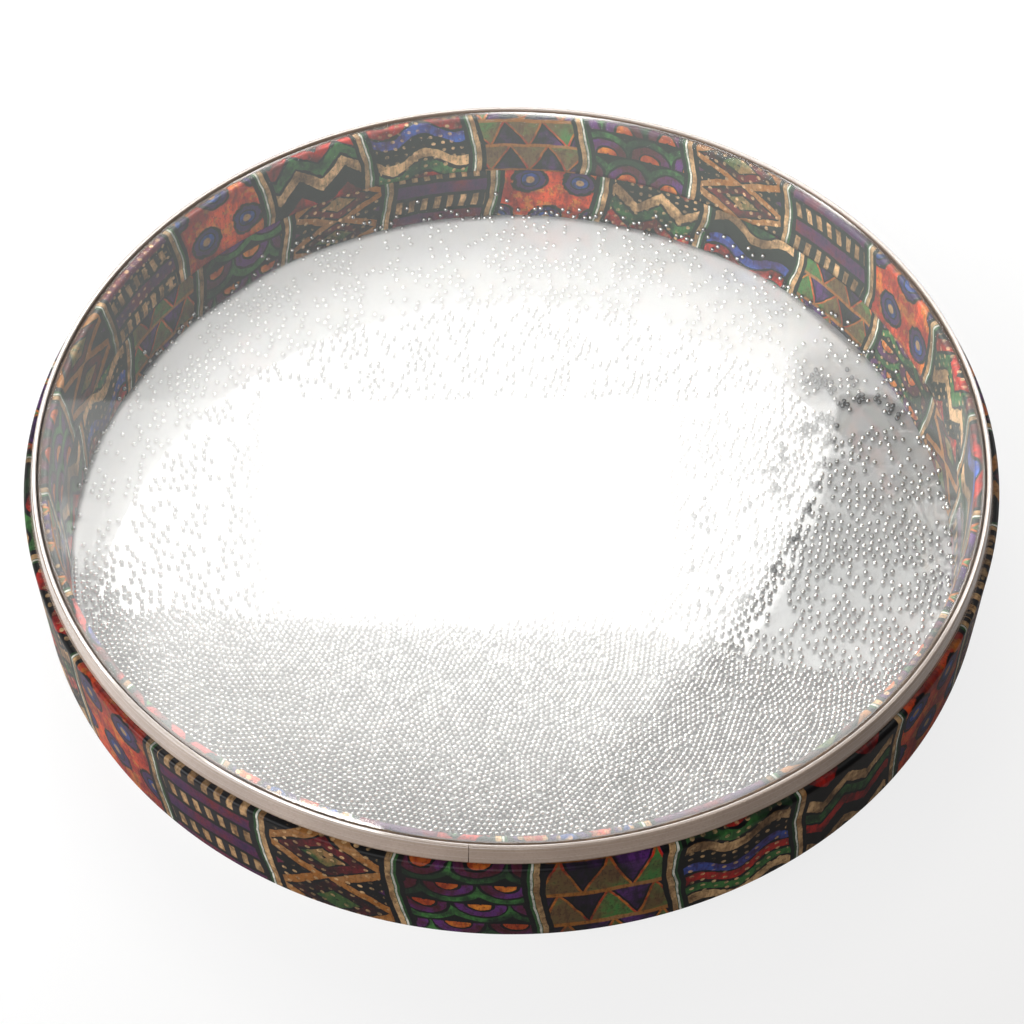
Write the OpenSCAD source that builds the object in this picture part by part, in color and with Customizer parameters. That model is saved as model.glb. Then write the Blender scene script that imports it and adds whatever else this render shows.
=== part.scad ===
// Ocean drum: a shallow fibre shell with a clear head above, a white head below,
// and loose steel shot sealed between them. Cloth covers the shell outside and inside.
// Lengths are in millimetres. The origin is on the drum's axis, on the surface it rests on.

/* [Shell] */
// Diameter over the cloth
drum_d = 406.4; // [300:0.1:560]
// Depth of the bare shell, from bearing edge to bearing edge
shell_h = 63.5; // [50:0.5:120]
// Thickness of the shell's wall
wall_t = 10.3; // [9.8:0.1:16]
// Rounding of the shell's outer corners
shoulder_r = 1.2; // [0.4:0.1:2]

/* [Neck] */
// Height of the neck that stands above each shoulder
neck_h = 7; // [6:0.1:12]
// Thickness of the neck
neck_t = 4; // [3:0.1:4.4]
// Rounding of the bearing edge, inside and outside
edge_r = 1; // [0.4:0.1:1.4]

/* [Cloth] */
// Thickness of the laminated cloth on the outside
wrap_t = 0.5; // [0.3:0.05:0.8]
// How far the cloth outside runs in under each hoop
wrap_tuck = 1.6; // [0.6:0.1:2.6]
// Thickness of the cloth strips inside
liner_t = 0.3; // [0.2:0.05:0.5]
// Height of the upper strip's lower edge above the lower bearing edge
seam_h = 30.6; // [20:0.1:34]
// How far the upper strip laps over the lower one
lap_h = 6; // [3:0.5:12]
// How far each strip's cut edge stays short of the bearing edge's outer rounding
lip_back = 0.2; // [0.1:0.1:1]

/* [Heads] */
// Thickness of the film
film_t = 0.25; // [0.15:0.05:0.4]
// Length of the film's skirt, down the outside of the neck
skirt_h = 5.4; // [3:0.1:5.8]

/* [Hoops] */
// Width of a hoop's foot
foot_w = 3.85; // [3:0.05:4.4]
// Height of the straight part of the foot
foot_h = 0.8; // [0.4:0.1:2]
// Radius of the crown's two rounded edges
crown_r = 0.6; // [0.4:0.05:0.8]
// Width of the flat land on the crown, which the drum rests on
land_w = 0.8; // [0.4:0.1:1.2]
// How far the crown stands above the film
crown_rise = 0.8; // [0.4:0.1:1.2]
// Width of the butt joint in a hoop
joint_w = 0.25; // [0.15:0.05:0.6]
// Direction of the upper hoop's butt joint, in degrees from +X
joint_angle = 265.5; // [0:0.5:359.5]

/* [Shot] */
// Diameter of a steel ball
ball_d = 2.4; // [2:0.1:3]
// Distance from the axis to the chord where the pool of shot begins
pool_edge = 46; // [20:1:90]
// Mean spacing of the balls in the pool
pool_pitch = 7.2; // [7:0.1:12]
// Mean spacing of the balls strewn over the rest of the head
stray_pitch = 16.5; // [14:0.5:30]
// Spacing of the balls that lie along the wall beside the pool
rim_pitch = 8.5; // [7:0.5:20]
// Radius inside which the shot doesn't take part in the swirl
calm_r = 41; // [20:1:44]

/* [Hidden] */
$fn = 180;
ball_fn = 16;
golden_angle = 137.50776;
half_turn = 180;
quarter_turn = 90;
// Angle between two creases of the film where it goes over the bearing edge
bend_step = 30;
// Bond line between two glued pieces
glue_t = 0.05;
// Room between a ball and whatever it could touch
ball_gap = 0.3;
// Overrun of every cut
over = 1;
// The shares of the head that the pool's and the strays' three nodes take
side_share = 0.33;

drum_r = drum_d / 2;
shell_r = drum_r - wrap_t - glue_t;
bore_r = shell_r - wall_t;
neck_r = bore_r + neck_t;
skirt_in_r = neck_r + glue_t;
skirt_out_r = skirt_in_r + film_t;
hoop_in_r = skirt_out_r + glue_t;
hoop_out_r = hoop_in_r + foot_w;
liner_out_r = bore_r - glue_t;
liner_in_r = liner_out_r - liner_t;
lip_r = neck_r - edge_r - lip_back;
fold_r = hoop_out_r - wrap_tuck;
lap_out_r = liner_in_r - glue_t;
lap_in_r = lap_out_r - liner_t;

// What lies on a bearing edge: the cloth's lip, the film, and the hoop's crown over it
lip_stack = glue_t + liner_t;
film_stack = lip_stack + glue_t + film_t;
base_h = film_stack + crown_rise;
edge_lo = base_h;
edge_hi = base_h + shell_h;
drum_h = shell_h + 2 * base_h;
lower_film_top = base_h - lip_stack - glue_t;
upper_film_under = edge_hi + lip_stack + glue_t;
upper_film_top = upper_film_under + film_t;
shoulder_hi = edge_hi - neck_h;
seam_z = edge_lo + seam_h;
lap_top = seam_z + lap_h;
hoop_foot_z = shoulder_hi + wrap_t + 2 * glue_t;

// The lanes of the shot, as radii of ball centres
ball_r = ball_d / 2;
ball_z = lower_film_top + ball_gap + ball_r;
rim_lane_r = lap_in_r - ball_gap - ball_r;
pool_out_r = rim_lane_r - ball_d - ball_gap;
pool_in_r = calm_r + ball_d + ball_gap;
drop_range = upper_film_under - lower_film_top - ball_d - 2 * ball_gap;
echo(drop_range = drop_range, ball_z = ball_z, drum_h = drum_h);

// What a square corner loses when it is rounded: the corner is at the origin, the piece in +x, +y
module corner_waste(r) {
    difference() {
        translate([-over, -over]) square(r + over);
        translate([r, r]) circle(r);
    }
}

// A rectangle in the profile plane, from (r0, z0) to (r1, z1), with its upper outer corner rounded
module block_round_out(r0, r1, z0, z1, corner) {
    difference() {
        translate([r0, z0]) square([r1 - r0, z1 - z0]);
        translate([r1, z1]) rotate(180) corner_waste(corner);
    }
}

// The same with its upper inner corner rounded
module block_round_in(r0, r1, z0, z1, corner) {
    difference() {
        translate([r0, z0]) square([r1 - r0, z1 - z0]);
        translate([r0, z1]) rotate(270) corner_waste(corner);
    }
}

// Turns what is made for the drum's upper end over to its lower end
module at_lower_end() {
    translate([0, 0, drum_h]) mirror([0, 0, 1]) children();
}

// Upper half of the shell's profile, from mid height to the bearing edge
module shell_half_profile() {
    mid_h = drum_h / 2;
    block_round_out(bore_r + edge_r, shell_r, mid_h, shoulder_hi, shoulder_r);
    difference() {
        block_round_out(bore_r, neck_r, mid_h, edge_hi, edge_r);
        translate([bore_r, edge_hi]) rotate(270) corner_waste(edge_r);
    }
}

module shell() {
    color("tan") rotate_extrude() {
        shell_half_profile();
        translate([0, drum_h]) mirror([0, 1]) shell_half_profile();
    }
}

// Upper half of the outer cloth: a skin that follows the wall and folds in over the shoulder
module wrap_half_profile() {
    mid_h = drum_h / 2;
    difference() {
        block_round_out(fold_r, drum_r, mid_h, shoulder_hi + glue_t + wrap_t, shoulder_r + wrap_t);
        translate([0, -over])
            block_round_out(0, drum_r - wrap_t, mid_h, shoulder_hi + glue_t + over, shoulder_r);
    }
}

module outer_wrap() {
    color([0.42, 0.20, 0.14]) rotate_extrude() {
        wrap_half_profile();
        translate([0, drum_h]) mirror([0, 1]) wrap_half_profile();
    }
}

// A lining strip's profile from z0 up to its lip over the upper bearing edge
module lip_profile(z0) {
    lip_z = edge_hi + lip_stack;
    difference() {
        block_round_in(liner_in_r, lip_r, z0, lip_z, edge_r + liner_t);
        translate([liner_out_r, z0 - over])
            block_round_in(0, lip_r - liner_out_r + over, 0, lip_z - liner_t - z0 + over, edge_r);
    }
}

module upper_liner() {
    jog_z = lap_top + glue_t;
    color([0.52, 0.42, 0.36]) rotate_extrude() {
        lip_profile(jog_z);
        translate([lap_in_r, jog_z]) square([liner_out_r - lap_in_r, liner_t]);
        translate([lap_in_r, seam_z]) square([liner_t, jog_z - seam_z + liner_t]);
    }
}

module lower_liner() {
    color([0.45, 0.44, 0.40]) at_lower_end() rotate_extrude() lip_profile(drum_h - lap_top);
}

// Where the tangents of a quarter circle meet: it starts at angle `from`, and turn is its sense, 1 or -1
function bend(centre, r, from, turn) = [
    for (i = [0.5 : 1 : quarter_turn / bend_step])
        let (a = from + turn * i * bend_step) centre + r / cos(bend_step / 2) * [cos(a), sin(a)]
];

// A head: flat film, creased over the bearing edge in small steps, and a skirt outside the neck
module head_film() {
    skirt_z = upper_film_top - skirt_h;
    centre = [skirt_in_r - edge_r, upper_film_under - edge_r];
    rotate_extrude() polygon(concat(
        [[0, upper_film_top]],
        bend(centre, edge_r + film_t, quarter_turn, -1),
        [[skirt_out_r, skirt_z], [skirt_in_r, skirt_z]],
        bend(centre, edge_r, 0, 1),
        [[0, upper_film_under]]
    ));
}

module upper_head() {
    color([0.90, 0.93, 0.95, 0.35]) head_film();
}

module lower_head() {
    color([0.95, 0.95, 0.94]) at_lower_end() head_film();
}

// A hoop: a foot on the shoulder, a face that slants in, and a crown with a narrow flat land.
// The slanted face runs from the foot's corner to the point where it touches the outer rounding.
module hoop_profile() {
    inner = [hoop_in_r + crown_r, drum_h - crown_r];
    outer = inner + [land_w, 0];
    corner = [hoop_out_r, hoop_foot_z + foot_h];
    reach = norm(corner - outer);
    dip = atan2(corner.y - outer.y, corner.x - outer.x);
    turn = dip + acos(crown_r / reach);
    touch = outer + crown_r * [cos(turn), sin(turn)];
    polygon([
        [hoop_in_r, hoop_foot_z], [hoop_out_r, hoop_foot_z], corner, touch, outer, [hoop_in_r, inner.y]
    ]);
    translate(inner) square([land_w, crown_r]);
    translate(inner) circle(crown_r);
    translate(outer) circle(crown_r);
}

module hoop(direction) {
    color([0.72, 0.67, 0.61]) difference() {
        rotate_extrude() hoop_profile();
        rotate(direction) translate([hoop_in_r - over, -joint_w / 2, hoop_foot_z - over])
            cube([foot_w + 2 * over, joint_w, drum_h - hoop_foot_z + 2 * over]);
    }
}

module upper_hoop() {
    hoop(joint_angle);
}

module lower_hoop() {
    at_lower_end() hoop(joint_angle + half_turn);
}

// Places spread evenly over a disc: each takes an area of pitch squared, a golden angle on
function spread(pitch, reach) = [
    for (i = [1 : floor(PI * reach * reach / (pitch * pitch))])
        let (r = pitch * sqrt(i / PI), a = i * golden_angle) [r * cos(a), r * sin(a)]
];

// Only the places whose distance from the axis lies in a lane, and whose x lies in a slice
function in_lane(places, r_min, r_max, x_min, x_max) = [
    for (p = places) if (norm(p) >= r_min && norm(p) <= r_max && p.x >= x_min && p.x < x_max) p
];

function in_pool(places) = [for (p = places) if (p.y <= -pool_edge) p];
function outside_pool(places) = [for (p = places) if (p.y > -pool_edge) p];

pool_places = in_pool(spread(pool_pitch, pool_out_r));
stray_places = outside_pool(spread(stray_pitch, pool_out_r));
slice_x = side_share * pool_out_r;

module balls(places) {
    color([0.80, 0.81, 0.82])
        for (p = places) translate([p.x, p.y, ball_z]) sphere(r = ball_r, $fn = ball_fn);
}

module pool_left() {
    balls(in_lane(pool_places, pool_in_r, pool_out_r, -drum_r, -slice_x));
}

module pool_front() {
    balls(in_lane(pool_places, pool_in_r, pool_out_r, -slice_x, slice_x));
}

module pool_right() {
    balls(in_lane(pool_places, pool_in_r, pool_out_r, slice_x, drum_r));
}

module strays_left() {
    balls(in_lane(stray_places, pool_in_r, pool_out_r, -drum_r, -slice_x));
}

module strays_back() {
    balls(in_lane(stray_places, pool_in_r, pool_out_r, -slice_x, slice_x));
}

module strays_right() {
    balls(in_lane(stray_places, pool_in_r, pool_out_r, slice_x, drum_r));
}

// The row along the wall: close together beside the pool, and three times as far apart elsewhere
module rim_row() {
    half_arc = acos(pool_edge / rim_lane_r);
    near_step = rim_pitch / rim_lane_r * 180 / PI;
    far_step = 3 * near_step;
    near = [for (a = [-90 - half_arc : near_step : -90 + half_arc]) a];
    far = [for (a = [-90 + half_arc + far_step : far_step : 270 - half_arc - far_step]) a];
    balls([for (a = concat(near, far)) rim_lane_r * [cos(a), sin(a)]]);
}

module centre_strays() {
    balls(in_lane(stray_places, 0, calm_r, -drum_r, drum_r));
}

shell();
outer_wrap();
upper_liner();
lower_liner();
upper_head();
upper_hoop();
lower_head();
lower_hoop();
pool_left();
pool_front();
pool_right();
strays_left();
strays_back();
strays_right();
rim_row();
centre_strays();
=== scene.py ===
# %% [markdown]
# # An ocean drum, dressed
# This lesson takes a drum that already exists as a measured CAD model and gives it the looks of the
# real one: printed cloth, a glossy clear head with the light of a window in it, a white head below,
# and thousands of steel balls that lie loose between them. The CAD frame is loaded first and stays
# fixed. Everything else is placed from its sizes, in metres, with the origin on the drum's axis, on
# the table.

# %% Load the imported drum
import math

import bpy
import numpy as np
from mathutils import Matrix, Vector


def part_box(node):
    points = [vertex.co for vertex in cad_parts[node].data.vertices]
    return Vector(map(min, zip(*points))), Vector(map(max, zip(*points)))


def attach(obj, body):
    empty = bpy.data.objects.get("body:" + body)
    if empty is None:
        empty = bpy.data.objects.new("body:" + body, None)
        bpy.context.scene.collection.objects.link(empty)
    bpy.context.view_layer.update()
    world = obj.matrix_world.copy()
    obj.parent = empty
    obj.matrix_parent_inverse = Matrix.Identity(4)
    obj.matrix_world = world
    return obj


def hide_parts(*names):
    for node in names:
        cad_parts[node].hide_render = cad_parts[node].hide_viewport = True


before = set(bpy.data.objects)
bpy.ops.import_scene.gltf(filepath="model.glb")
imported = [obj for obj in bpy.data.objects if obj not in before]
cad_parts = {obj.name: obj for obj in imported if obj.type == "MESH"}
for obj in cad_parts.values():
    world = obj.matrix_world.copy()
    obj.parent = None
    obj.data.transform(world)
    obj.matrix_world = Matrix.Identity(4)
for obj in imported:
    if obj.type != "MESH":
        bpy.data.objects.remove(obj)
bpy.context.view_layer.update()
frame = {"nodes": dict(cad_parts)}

print("nodes:", ", ".join(frame["nodes"]))

# %% [markdown]
# ## The drum's own sizes
# A scene that repeats sizes by hand goes wrong as soon as one changes, so each is named once here.
# The box of a CAD node gives the ones that the file can measure. The others are the maker's values.

# %% Name the sizes
MM = 0.001
drum_radius = float(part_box("outer_wrap")[1][0])
drum_height = float(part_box("upper_hoop")[1][2])
wrap_top = float(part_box("outer_wrap")[1][2])
hoop_outer = float(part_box("upper_hoop")[1][0])
crown_radius = 197.7 * MM     # middle of the flat land on a hoop's crown
wall_radius = 192.0 * MM      # the lining, as the balls meet it
film_top = 65.6 * MM          # upper face of the clear head
head_top = 1.05 * MM          # upper face of the lower head
ball_radius = 1.2 * MM
print(f"radius {drum_radius / MM:.1f} mm, height {drum_height / MM:.1f} mm, "
      f"hoop to {hoop_outer / MM:.2f} mm")

# %% [markdown]
# ## Camera
# The photograph looks down at the drum from the front, at 52 degrees below the horizon and from one
# metre away. How round the rim looks fixes the angle, and how much wider the near side is than the
# far side fixes the distance. A camera turned about X alone keeps the picture level.

# %% Place the camera
PIXELS = 1024                     # width and height of the picture
focal_px = 2273.1                 # focal length in those pixels
pitch = math.radians(52.04)       # how far the camera looks down
camera_place = np.array([0.00018, -0.60978, 0.79241])


def add_to_scene(name, data, material=None):
    """Links a new object with this data, at the origin."""
    thing = bpy.data.objects.new(name, data)
    bpy.context.collection.objects.link(thing)
    if material:
        data.materials.append(material)
    return thing


camera_data = bpy.data.cameras.new("camera")
camera_data.sensor_width = 36.0
camera_data.lens = focal_px * camera_data.sensor_width / PIXELS
camera = add_to_scene("camera", camera_data)
camera.location = camera_place
camera.rotation_euler = (math.pi / 2 - pitch, 0, 0)
bpy.context.scene.camera = camera
print(f"lens {camera_data.lens:.1f} mm on a 36 mm sensor")

# %% [markdown]
# ## A small language for materials
# Node graphs made line by line are hard to read. Here a class wraps one socket and overloads
# arithmetic, so that `1 - mask * 0.5` adds the Math nodes by itself. Every other node comes from one
# method, `node`, which takes the node's type, its settings and its inputs.

# %% The socket wrapper
class Wire:
    """One output socket of a shader graph. Arithmetic on it adds Math nodes and returns a new Wire."""

    def __init__(self, graph, socket):
        self.graph, self.socket = graph, socket

    def math(self, operation, *others):
        return self.graph.node("ShaderNodeMath", {"operation": operation}, self, *others)

    def __add__(self, other): return self.math("ADD", other)
    def __sub__(self, other): return self.math("SUBTRACT", other)
    def __mul__(self, other): return self.math("MULTIPLY", other)
    def __truediv__(self, other): return self.math("DIVIDE", other)
    def __radd__(self, other): return self.math("ADD", other)
    def __rmul__(self, other): return self.math("MULTIPLY", other)
    def __rsub__(self, other): return (self * -1.0) + other
    def __abs__(self): return self.math("ABSOLUTE")
    def __lt__(self, other): return self.math("LESS_THAN", other)
    def __gt__(self, other): return self.math("GREATER_THAN", other)
    def __mod__(self, other): return self.math("FLOORED_MODULO", other)
    def floor(self): return self.math("FLOOR")
    def power(self, other): return self.math("POWER", other)
    def most(self, other): return self.math("MAXIMUM", other)
    def sine(self): return self.math("SINE")

    def ramp(self, low, high, out_low=0.0, out_high=1.0):
        """A smooth step: out_low at low, out_high at high, held outside."""
        return self.graph.node("ShaderNodeMapRange", {"interpolation_type": "SMOOTHSTEP"},
                               self, low, high, out_low, out_high)

    def near(self, centre, half, soft=0.1):
        """A band mask: 1 within half of centre, 0 outside, with an edge of soft times half."""
        return abs(self - centre).ramp(half * (1 + soft), half * (1 - soft))


class Graph:
    """The node tree of one material, or of the world."""

    def __init__(self, name, kind="materials"):
        self.material = getattr(bpy.data, kind).new(name)
        self.material.use_nodes = True
        self.tree = self.material.node_tree
        self.tree.nodes.clear()
        self.output = "ShaderNodeOutputWorld" if kind == "worlds" else "ShaderNodeOutputMaterial"

    def node(self, kind, settings=None, *values, out=0, **named):
        """Adds a node: settings first, then the inputs in order, then those given by name. An input
        is a number, a colour or a Wire. Returns the output socket `out` as a Wire."""
        node = self.tree.nodes.new(kind)
        for key, value in (settings or {}).items():
            setattr(node, key, value)
        given = [(node.inputs[i], v) for i, v in enumerate(values)]
        given += [(node.inputs[key.replace("_", " ")], v) for key, v in named.items()]
        for socket, value in given:
            if isinstance(value, Wire):
                self.tree.links.new(value.socket, socket)
            elif value is not None:
                socket.default_value = value
        return Wire(self, node.outputs[out])

    def mix(self, factor, a, b):
        """Colour a where factor is 0, colour b where it is 1. The node's inputs 6 and 7 are colours."""
        return self.node("ShaderNodeMix", {"data_type": "RGBA"}, factor, *[None] * 5, a, b, out=2)

    def noise(self, where, scale, detail=2.0, roughness=0.5, stretch=(1, 1, 1), out=0):
        """Fractal noise at `scale` cells to the metre, stretched along the axes of `where`."""
        placed = self.node("ShaderNodeMapping", None, where, Scale=stretch)
        return self.node("ShaderNodeTexNoise", None, Vector=placed, Scale=scale, Detail=detail,
                         Roughness=roughness, out=out)

    def place(self):
        """Object coordinates: metres in the drum's own frame."""
        return self.node("ShaderNodeTexCoord", out=3)

    def split(self, vector):
        """The x, y and z of a vector, as three Wires."""
        node = self.tree.nodes.new("ShaderNodeSeparateXYZ")
        self.tree.links.new(vector.socket, node.inputs[0])
        return [Wire(self, socket) for socket in node.outputs]

    def bump(self, height, distance, strength=1.0):
        """A normal tilted by the slope of height x distance, where distance is in metres."""
        return self.node("ShaderNodeBump", None, Height=height, Distance=distance, Strength=strength)

    def finish(self, shader):
        """Joins the shader to the output and returns the material or world."""
        output = self.tree.nodes.new(self.output)
        self.tree.links.new(shader.socket, output.inputs[0])
        return self.material


def rgb(red, green, blue):
    """A colour written as on screen (0 to 255), turned into the linear light that shaders use: with
    c = value / 255, c / 12.92 in the darkest tones and ((c + 0.055) / 1.055)^2.4 above them."""
    parts = (value / 255 for value in (red, green, blue))
    return (*(c / 12.92 if c <= 0.04045 else ((c + 0.055) / 1.055) ** 2.4 for c in parts), 1.0)


print("a mid grey of 128 on screen is", round(rgb(128, 128, 128)[0], 3), "in linear light")

# %% [markdown]
# ## From formula to mesh
# Each new surface is a function of two parameters worked out on a grid. One helper turns the grid
# into a mesh: neighbours are joined into quads, and the grid may close on itself or bring texture
# coordinates along. Other helpers join points and arcs into a profile, measure it and fill it up with
# points, and give soft wrinkles, which are sums of a few sine waves with seeded phases, so that they
# are the same on each run.

# %% Mesh helpers
def add_object(name, mesh, body, slot, material, *replaced):
    """Links the mesh as a piece at the origin, ties it to its body and hides the CAD nodes it
    replaces. The slot is not used.
    """
    piece = add_to_scene(name, mesh, material)
    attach(piece, body)
    if replaced:
        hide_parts(*replaced)
    return piece


def grid_mesh(name, points, closed_v=False, caps=False, uv=None, sharp=None):
    """Points is an array (rows u, columns v, 3). Corner (i, j) joins (i + 1, j), (i + 1, j + 1) and
    (i, j + 1) into one quad, so the face points along du x dv. closed_v joins the last column to the
    first, and caps closes the two ends of such a tube with one face each. sharp is the angle in
    degrees past which an edge isn't smoothed."""
    rows, columns = points.shape[:2]
    index = np.arange(rows * columns).reshape(rows, columns)
    if closed_v:
        index = np.concatenate([index, index[:, :1]], axis=1)
    quads = np.stack([index[:-1, :-1], index[1:, :-1], index[1:, 1:], index[:-1, 1:]], axis=-1)
    quads = quads.reshape(-1, 4)
    faces = quads.tolist()
    if caps:
        faces += [index[0, :-1].tolist(), index[-1, :-1][::-1].tolist()]
    mesh = bpy.data.meshes.new(name)
    mesh.from_pydata(points.reshape(-1, 3).tolist(), [], faces)
    mesh.polygons.foreach_set("use_smooth", np.ones(len(faces), dtype=bool))
    if uv is not None:
        layer = mesh.uv_layers.new(name="cut")
        layer.data.foreach_set("uv", uv.reshape(-1, 2)[quads.reshape(-1)].astype(np.float32).ravel())
    if sharp is not None:
        mesh.set_sharp_from_angle(angle=math.radians(sharp))
    mesh.update()
    return mesh


def arc(centre, radius, start, end, steps):
    """Points on a circle in the (r, z) plane, from angle start to end in degrees."""
    angle = np.radians(np.linspace(start, end, steps))
    return np.stack([centre[0] + radius * np.cos(angle), centre[1] + radius * np.sin(angle)], axis=1)


def path(*pieces):
    """Joins points and arcs into one profile of (r, z) points."""
    return np.concatenate([np.atleast_2d(np.asarray(piece, dtype=float)) for piece in pieces])


def about_axis(r, turn, z):
    """Points (r cos turn, r sin turn, z) of a surface, or a line, that goes round the drum."""
    return np.stack([r * np.cos(turn), r * np.sin(turn), z + 0 * turn], axis=-1)


def run_length(profile):
    """Distance along a profile, from its first point."""
    return np.concatenate([[0.0], np.cumsum(np.linalg.norm(np.diff(profile, axis=0), axis=1))])


def refill(profile, longest):
    """Adds points on the straight stretches, so that none is longer than `longest`."""
    far = run_length(profile)
    marks = [np.linspace(a, b, max(2, int(math.ceil((b - a) / longest)) + 1))[:-1]
             for a, b in zip(far[:-1], far[1:])]
    marks = np.concatenate([*marks, far[-1:]])
    return np.stack([np.interp(marks, far, profile[:, 0]), np.interp(marks, far, profile[:, 1])], axis=1)


def wrinkles(angle, height, waves, seed, size, per_metre=0.0):
    """A sum of sine waves round the drum: sum of a_k sin(n_k angle + m_k height + phase_k)."""
    rng = np.random.default_rng(seed)
    total = np.zeros(np.broadcast(angle, height).shape)
    for count in waves:
        phase, lean, weight = rng.uniform(0, 2 * np.pi), rng.normal(0, per_metre), rng.uniform(0.5, 1)
        total = total + weight * np.sin(count * angle + lean * height + phase)
    return size * total / math.sqrt(len(waves))


print("mesh helpers ready")

# %% [markdown]
# ## Floor, sky and window
# The drum lies on white paper in an even, plain light. What makes its looks is one large window
# behind it: the clear head and the white head below both mirror it, so the middle of the drum is
# filled with glare and the balls in it almost vanish. A panel that glows stands in for the window.
# It is laid out from a camera mirrored in the clear head, so that a point (x, y) of the panel shows
# in the clear head at pixel (x, y) of the picture. The lower head, 64 mm further down, mirrors the
# same panel a little lower in the picture, and beyond the edge of the glare it is plain grey. The
# floor glows for the camera's rays alone, so it looks like white paper and still keeps a faint
# shadow. Further off it turns to plain white, so that no horizon shows from the sides.

# %% Light the scene
WINDOW_FAR = 3.0          # metres from the mirrored camera to the panel, along its axis
PANEL_X, PANEL_Y = [-80.0, 1104.0], [60.0, 940.0]      # pixels that the panel covers
GLARE_TOP = 398           # pixel row below which the reflection is at its brightest

# strengths, where 1 is white: towards the front and in the middle of the panel, then in the ring that
# the hoop's crown mirrors: at the back, in its bright lengths, in the one on the right, and between
FRONT_GLOW, MIDDLE_GLOW = 6.7, 8.0
RING_BACK, RING_LENGTHS, RING_RIGHT, RING_BETWEEN = 11.0, 15.0, 12.0, 0.7
WHITE = (1.0, 1.0, 1.0, 1.0)


def through_film(x, y):
    """Where the ray through pixel (x, y), mirrored in the clear head, meets the panel."""
    forward = np.array([0, math.cos(pitch), math.sin(pitch)])
    upward = np.array([0, math.sin(pitch), -math.cos(pitch)])
    eye = camera_place * [1, 1, -1] + [0, 0, 2 * film_top]
    x, y = (np.asarray(v, dtype=float)[..., None] for v in (x, y))
    aside, aloft = (x - PIXELS / 2) / focal_px, (PIXELS / 2 - y) / focal_px
    return eye + WINDOW_FAR * (forward + aside * np.array([1, 0, 0]) + aloft * upward)


def seen_at(points):
    """Pixel (x, y) at which the camera sees each point: focal length times sideways shift over depth."""
    away = points - camera_place
    depth = away @ [0, math.cos(pitch), -math.sin(pitch)]
    return (PIXELS / 2 + focal_px * away[:, 0] / depth,
            PIXELS / 2 - focal_px * (away @ [0, math.sin(pitch), math.cos(pitch)]) / depth)


def picture_ellipse(radius, height):
    """Centre and half sizes, in pixels, of a level circle about the drum's axis as the camera sees it."""
    turn = np.linspace(0, 2 * np.pi, 720)
    x, y = seen_at(about_axis(radius, turn, height))
    return (x.max() + x.min()) / 2, (y.max() + y.min()) / 2, np.ptp(x) / 2, np.ptp(y) / 2


def window_glow():
    """Strength of the panel by picture coordinates. Its outline is an arch that lies just where the
    foot of the inner wall is seen. It is brightest in the middle, below y = 398, and fades towards the
    front, and it has a dark side to the right of a slanting curved edge, x = 838 - 0.0108 (y - 398)^1.7,
    softer further down. Outside the film, where the hoop's crown mirrors it, a bright ring runs round
    the back and the sides, and breaks into a few bright lengths towards the front."""
    g = Graph("window_glow")
    u, v, _ = g.split(g.node("ShaderNodeUVMap", {"uv_map": "cut"}))
    x, y = u * PIXELS, v * PIXELS

    def reach(radius, height):
        """Distance from the middle of the circle's ellipse, which itself lies at 1."""
        middle_x, middle_y, half_x, half_y = picture_ellipse(radius, height)
        ex, ey = (x - middle_x) / half_x, (y - middle_y) / half_y
        return (ex * ex + ey * ey).power(0.5)

    # the bright part below GLARE_TOP: it rises from the arch inwards, and fades to the front and sides
    inward = 1.0 - reach(wall_radius, head_top)
    low = inward.ramp(0.0, 0.012, 0.16, 0.80) + inward.ramp(0.012, 0.16, 0.0, 0.20)
    front = FRONT_GLOW * y.ramp(600, 700, 1.0, 0.78) * y.ramp(690, 870, 1.0, 0.46)
    front = front * (1 - 0.4 * x.ramp(180, 90) * y.ramp(545, 590))
    middle = MIDDLE_GLOW * x.ramp(230, 330) * x.ramp(700, 600) * y.ramp(640, 560)
    bright = (front * x.ramp(740, 810, 1.0, 0.72) + middle) * low

    # the dimmer part above it
    high = inward.ramp(0.0, 0.014, 0.15, 4.2) + inward.ramp(0.014, 0.15, 0.0, 1.8)
    main = y.ramp(GLARE_TOP, GLARE_TOP + 4)

    # the dark side, which lets a little light through further down
    side_edge = 838 - 0.0108 * (y - GLARE_TOP).most(0.0).power(1.7)
    soft = 3 + 0.22 * (y - 560).most(0.0)
    upper_edge = y - 0.9 * (x - 885).most(0.0)
    dark = ((x - side_edge) / soft).ramp(-1, 1) * upper_edge.ramp(GLARE_TOP - 8, GLARE_TOP)
    dark = dark.most(0.5 * x.ramp(780, 812) * y.ramp(335, 365) * y.ramp(412, 396))
    strength = (main * bright + (1 - main) * high) * (1 - dark)
    strength = strength + dark * (y.ramp(430, 560, 0.30, 1.0) + y.ramp(560, 740, 0.0, 2.0))

    # the ring for the hoop's crown
    crown_reach = reach(crown_radius, drum_height)
    outside = crown_reach.ramp(0.989, 0.993)
    left_lengths = x.ramp(116, 109) * x.ramp(-30, 10) + x.near(292, 88, 0.05) * y.ramp(600, 620)
    lengths = RING_LENGTHS * left_lengths + RING_RIGHT * x.near(988, 33, 0.3)
    back = RING_BACK * crown_reach.ramp(1.06, 1.05) * y.ramp(640, 600)
    crown = (RING_BETWEEN + lengths * y.ramp(230, 300)).most(back)
    strength = strength * (1 - outside) + crown * outside
    colour = g.node("ShaderNodeVectorMath", {"operation": "SCALE"}, (1.0, 0.99, 0.965), Scale=strength)
    return g.finish(g.node("ShaderNodeEmission", None, colour, 1.0))


corner_x, corner_y = np.meshgrid(PANEL_X, PANEL_Y, indexing="ij")
panel_mesh = grid_mesh("window", through_film(corner_x, corner_y),
                       uv=np.stack([corner_x, corner_y], axis=-1) / PIXELS)
window = add_to_scene("window", panel_mesh, window_glow())


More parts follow.
